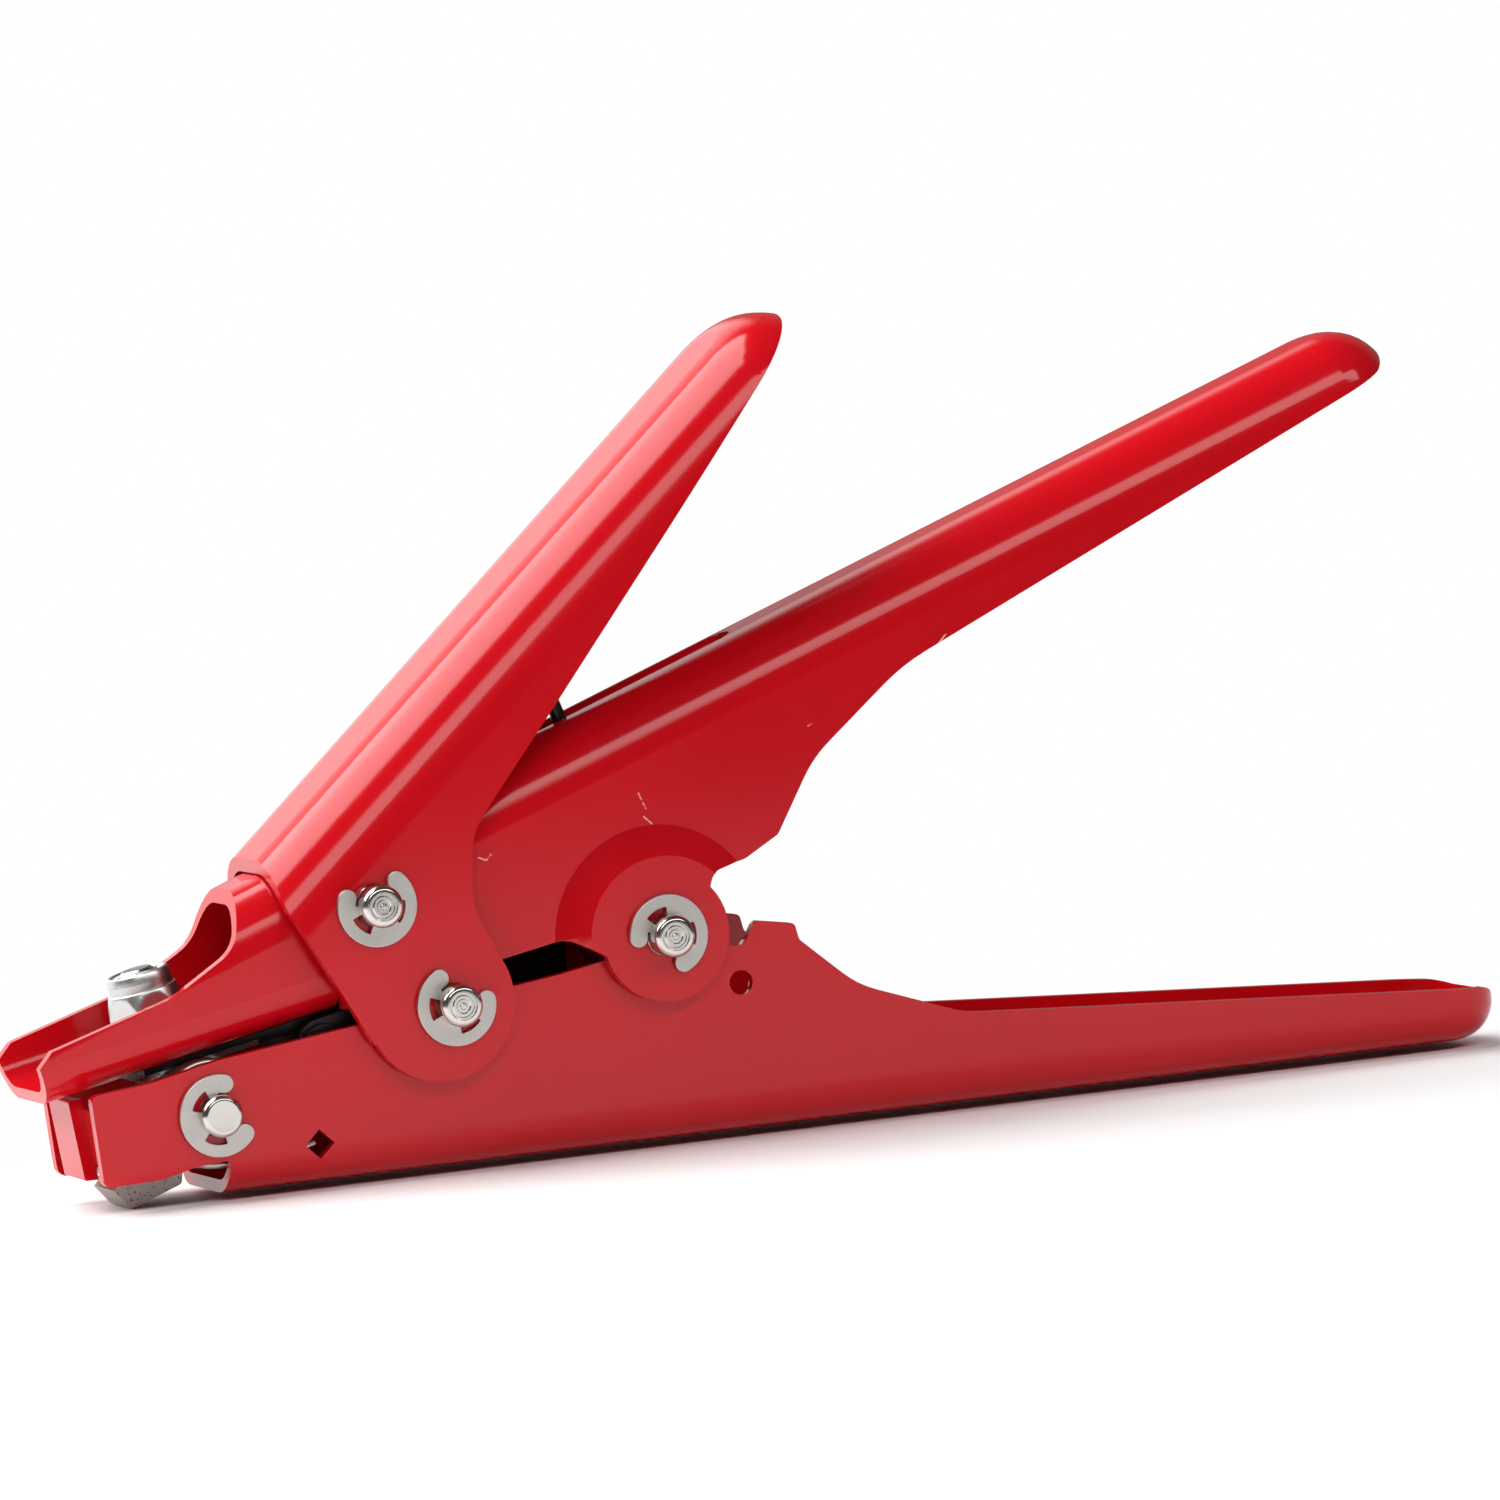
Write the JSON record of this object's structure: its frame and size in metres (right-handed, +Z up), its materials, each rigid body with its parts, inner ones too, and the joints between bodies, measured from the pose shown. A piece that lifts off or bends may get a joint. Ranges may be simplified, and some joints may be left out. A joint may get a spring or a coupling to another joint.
{
  "type": "cable tie tensioning tool",
  "caption": "Hand tool with long pressed-steel handles that tension a cable tie and a short third handle that cuts it.",
  "frame": {"origin": "centre of the footprint at the lowest point, with the lower handle's channel level and the handles open", "axes": "+X towards the handle tips, +Y across the tool towards the pin heads, +Z up from the lower handle to the cutting handle"},
  "size_m": [0.1771, 0.0282, 0.093],
  "materials": {
    "red_enamel": "gloss",
    "nickel_plate": "satin",
    "zinc_plate": "satin",
    "black_spring_steel": "satin",
    "bright_spring_steel": "satin",
    "sintered_steel": "matte",
    "tool_steel": "ground"
  },
  "bodies": {
    "lower_body": {"lower_handle": "red_enamel", "nose_anvil_block": "red_enamel", "stop_bracket": "black_spring_steel", "main_pivot_pin": "nickel_plate", "main_pivot_clip": "nickel_plate", "main_bushing": "zinc_plate", "handle_spring": "bright_spring_steel", "pawl_pin": "nickel_plate", "pawl_clip": "nickel_plate", "pawl_spacers": "zinc_plate", "pawl_spring": "bright_spring_steel"},
    "upper_body": {"upper_handle": "red_enamel", "cutter_pivot_pin": "nickel_plate", "cutter_pivot_clip": "nickel_plate", "cutter_bushing": "zinc_plate", "cutter_washers": "zinc_plate", "guide_bolt": "zinc_plate", "guide_washer": "zinc_plate", "lock_nut": "zinc_plate"},
    "cutting_body": {"cutting_handle": "red_enamel", "link_pin": "nickel_plate", "link_pin_clip": "nickel_plate", "link_spacer": "zinc_plate", "cutter_spring": "black_spring_steel"},
    "link_body": {"near_push_link": "zinc_plate", "far_push_link": "zinc_plate"},
    "blade_body": {"blade_slide": "tool_steel", "cutter_blade": "tool_steel", "blade_rivets": "zinc_plate", "blade_pin": "zinc_plate"},
    "gripper_body": {"gripper_pawl": "sintered_steel"}
  },
  "joints": [
    {"name": "handle_pivot", "type": "hinge", "parent": "lower_body", "child": "upper_body", "pos_m": [-0.01475, 0, 0.0244], "axis": [0, 1, 0], "range_deg": [0, 28], "stiffness_Nm_per_rad": 0.5, "springref_deg": -28.65, "deforming": ["handle_spring"]},
    {"name": "cutter_pivot", "type": "hinge", "parent": "upper_body", "child": "cutting_body", "pos_m": [-0.04885, 0, 0.0315], "axis": [0, 1, 0], "range_deg": [0, 21.5], "stiffness_Nm_per_rad": 0.3, "springref_deg": -28.65, "deforming": ["cutter_spring"]},
    {"name": "link_pivot", "type": "hinge", "parent": "cutting_body", "child": "link_body", "pos_m": [-0.04055, 0, 0.0194], "axis": [0, 1, 0], "range_deg": [-17.2, 0]},
    {"name": "blade_travel", "type": "slide", "parent": "upper_body", "child": "blade_body", "axis": [-0.9803, 0, -0.1977], "range_m": [0, 0.0054]},
    {"name": "gripper_pivot", "type": "hinge", "parent": "lower_body", "child": "gripper_body", "pos_m": [-0.06875, 0, 0.01], "axis": [0, 1, 0], "range_deg": [-20, 0], "stiffness_Nm_per_rad": 0.02, "springref_deg": 28.65, "deforming": ["pawl_spring"]}
  ],
  "couplings": [
    {"joint": "link_pivot", "follows": "cutter_pivot", "ratio": -0.786},
    {"joint": "blade_travel", "follows": "cutter_pivot", "m_per_rad": 0.014124}
  ]
}
